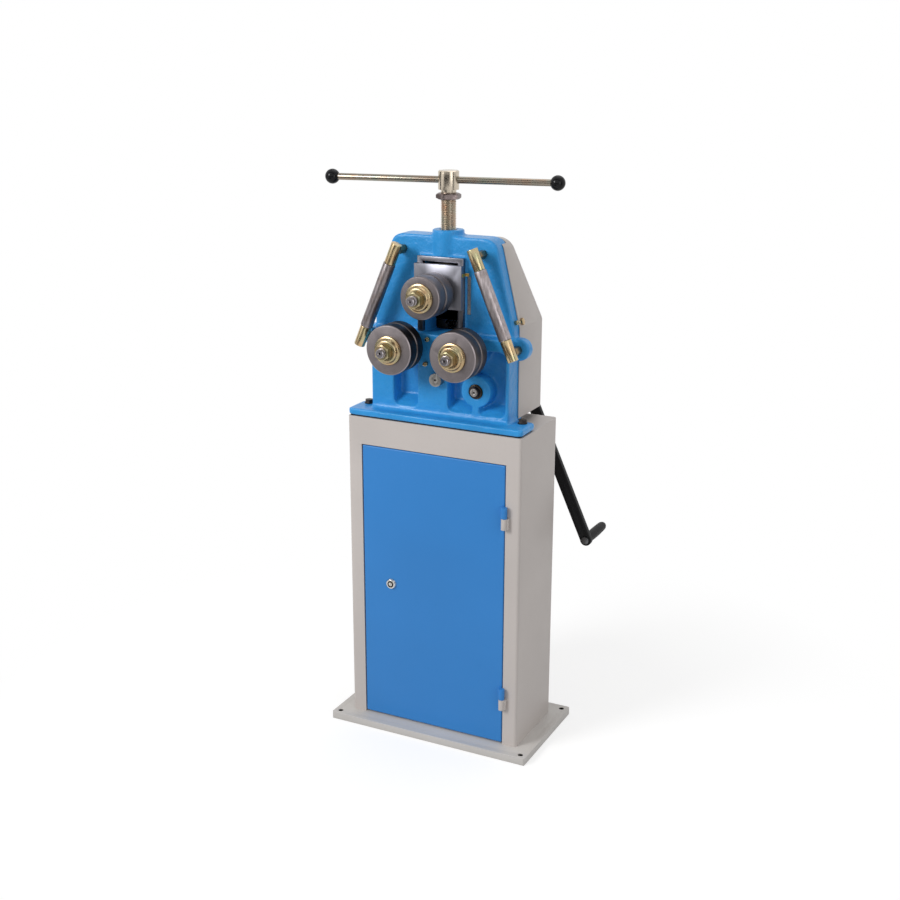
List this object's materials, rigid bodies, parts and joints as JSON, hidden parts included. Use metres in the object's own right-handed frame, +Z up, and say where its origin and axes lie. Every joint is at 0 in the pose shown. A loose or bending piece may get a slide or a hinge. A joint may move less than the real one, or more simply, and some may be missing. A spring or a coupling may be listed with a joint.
{
  "type": "angle roll bender",
  "caption": "Hand-cranked roll bender for bar and section: driven lower rolls and a screw-pressed upper roll on a ribbed casting, with side guides, on a cabinet stand with a door.",
  "frame": {"origin": "centre of the floor plate's underside", "axes": "+Z up, -Y towards the operator who faces the rolls, +X to the right of that view, the side with the crank and the door's hinges"},
  "size_m": [0.5319, 0.459, 1.237],
  "materials": {
    "casting_blue": "glossy machine enamel",
    "door_blue": "satin enamel",
    "stand_grey": "satin enamel, warm grey",
    "floor_grey": "satin enamel, grey",
    "zinc_yellow": "yellow zinc plating",
    "turned_steel": "turned steel",
    "dark_steel": "blackened steel",
    "ground_steel": "ground bright",
    "plated_steel": "nickel plating",
    "bronze": "bearing bronze",
    "brass": "bright brass",
    "black_paint": "matte black",
    "black_knob": "polished phenolic",
    "black_grip": "moulded grip"
  },
  "bodies": {
    "frame": {"base_plate": "floor_grey", "cabinet_body": "stand_grey", "cabinet_top": "stand_grey", "hinge_frame_knuckles": "stand_grey", "frame_casting": "casting_blue", "flange_bolts": "dark_steel", "rear_cover": "stand_grey", "cover_bolts": "zinc_yellow", "lower_bushes": "bronze", "crank_bush": "bronze", "idler_pin": "turned_steel", "grease_nipples": "zinc_yellow", "scale_strip": "ground_steel", "guide_rods": "turned_steel", "guide_ferrules": "zinc_yellow", "guide_studs": "dark_steel"},
    "door": {"door_panel": "door_blue", "hinge_door_knuckles": "door_blue", "lock_body": "plated_steel"},
    "lock": {"lock_plug": "plated_steel", "lock_cam": "turned_steel"},
    "left_roll": {"left_shaft": "turned_steel", "left_front_ring": "dark_steel", "left_rear_ring": "dark_steel", "left_cap_washer": "zinc_yellow", "left_nuts": "zinc_yellow", "left_gear": "dark_steel"},
    "right_roll": {"right_shaft": "turned_steel", "right_front_ring": "dark_steel", "right_rear_ring": "dark_steel", "right_cap_washer": "zinc_yellow", "right_nuts": "zinc_yellow", "right_gear": "dark_steel"},
    "idler": {"idler_gear": "dark_steel"},
    "crank": {"crank_shaft": "turned_steel", "crank_pinion": "dark_steel", "crank_arm": "black_paint", "crank_fasteners": "plated_steel"},
    "grip": {"crank_grip": "black_grip"},
    "slide": {"slide_block": "ground_steel", "slide_keeper": "dark_steel", "keeper_screws": "dark_steel", "upper_bushes": "bronze", "screw_keeper": "dark_steel", "scale_pointer": "brass"},
    "upper_roll": {"upper_shaft": "turned_steel", "upper_front_ring": "dark_steel", "upper_rear_ring": "dark_steel", "upper_cap_washer": "zinc_yellow", "upper_nut": "zinc_yellow", "upper_retainer": "dark_steel"},
    "screw": {"press_screw": "zinc_yellow", "screw_hub": "zinc_yellow", "jam_nut": "dark_steel"},
    "tommy": {"tommy_bar": "zinc_yellow", "tommy_balls": "black_knob"},
    "left_guide": {"left_guide_tube": "turned_steel"},
    "right_guide": {"right_guide_tube": "turned_steel"}
  },
  "joints": [
    {"name": "crank_turn", "type": "hinge", "parent": "frame", "child": "crank", "pos_m": [0.086, 0, 0.79446], "axis": [0, 1, 0], "continuous": true},
    {"name": "right_roll_turn", "type": "hinge", "parent": "frame", "child": "right_roll", "pos_m": [0.073, 0, 0.882], "axis": [0, 1, 0], "continuous": true},
    {"name": "left_roll_turn", "type": "hinge", "parent": "frame", "child": "left_roll", "pos_m": [-0.073, 0, 0.882], "axis": [0, 1, 0], "continuous": true},
    {"name": "idler_turn", "type": "hinge", "parent": "frame", "child": "idler", "pos_m": [0, 0, 0.81293], "axis": [0, 1, 0], "continuous": true},
    {"name": "grip_turn", "type": "hinge", "parent": "crank", "child": "grip", "pos_m": [0.25472, 0.22, 0.42079], "axis": [0, 1, 0], "continuous": true},
    {"name": "slide_travel", "type": "slide", "parent": "frame", "child": "slide", "axis": [0, 0, 1], "range_m": [-0.048, 0.012]},
    {"name": "upper_roll_turn", "type": "hinge", "parent": "slide", "child": "upper_roll", "pos_m": [0, 0, 0.9955], "axis": [0, 1, 0], "continuous": true},
    {"name": "screw_turn", "type": "hinge", "parent": "slide", "child": "screw", "pos_m": [0, -0.019, 1.1], "axis": [0, 0, 1], "range_deg": [-4937, 1234]},
    {"name": "tommy_slide", "type": "slide", "parent": "screw", "child": "tommy", "axis": [0.9848, 0.1736, 0], "range_m": [-0.1885, 0.2145]},
    {"name": "left_guide_turn", "type": "hinge", "parent": "frame", "child": "left_guide", "pos_m": [-0.085, -0.084, 1.091], "axis": [-0.3909, 0, -0.9204], "continuous": true},
    {"name": "right_guide_turn", "type": "hinge", "parent": "frame", "child": "right_guide", "pos_m": [0.085, -0.084, 1.091], "axis": [0.3909, 0, -0.9204], "continuous": true},
    {"name": "door_swing", "type": "hinge", "parent": "frame", "child": "door", "pos_m": [0.1715, -0.1025, 0.32], "axis": [0, 0, 1], "range_deg": [0, 115]},
    {"name": "lock_turn", "type": "hinge", "parent": "door", "child": "lock", "pos_m": [-0.101, -0.08, 0.344], "axis": [0, 1, 0], "range_deg": [0, 90]}
  ],
  "couplings": [
    {"joint": "right_roll_turn", "follows": "crank_turn", "ratio": -0.475},
    {"joint": "left_roll_turn", "follows": "crank_turn", "ratio": -0.475},
    {"joint": "idler_turn", "follows": "crank_turn", "ratio": 0.7037},
    {"joint": "slide_travel", "follows": "screw_turn", "m_per_rad": 0.00055704}
  ]
}
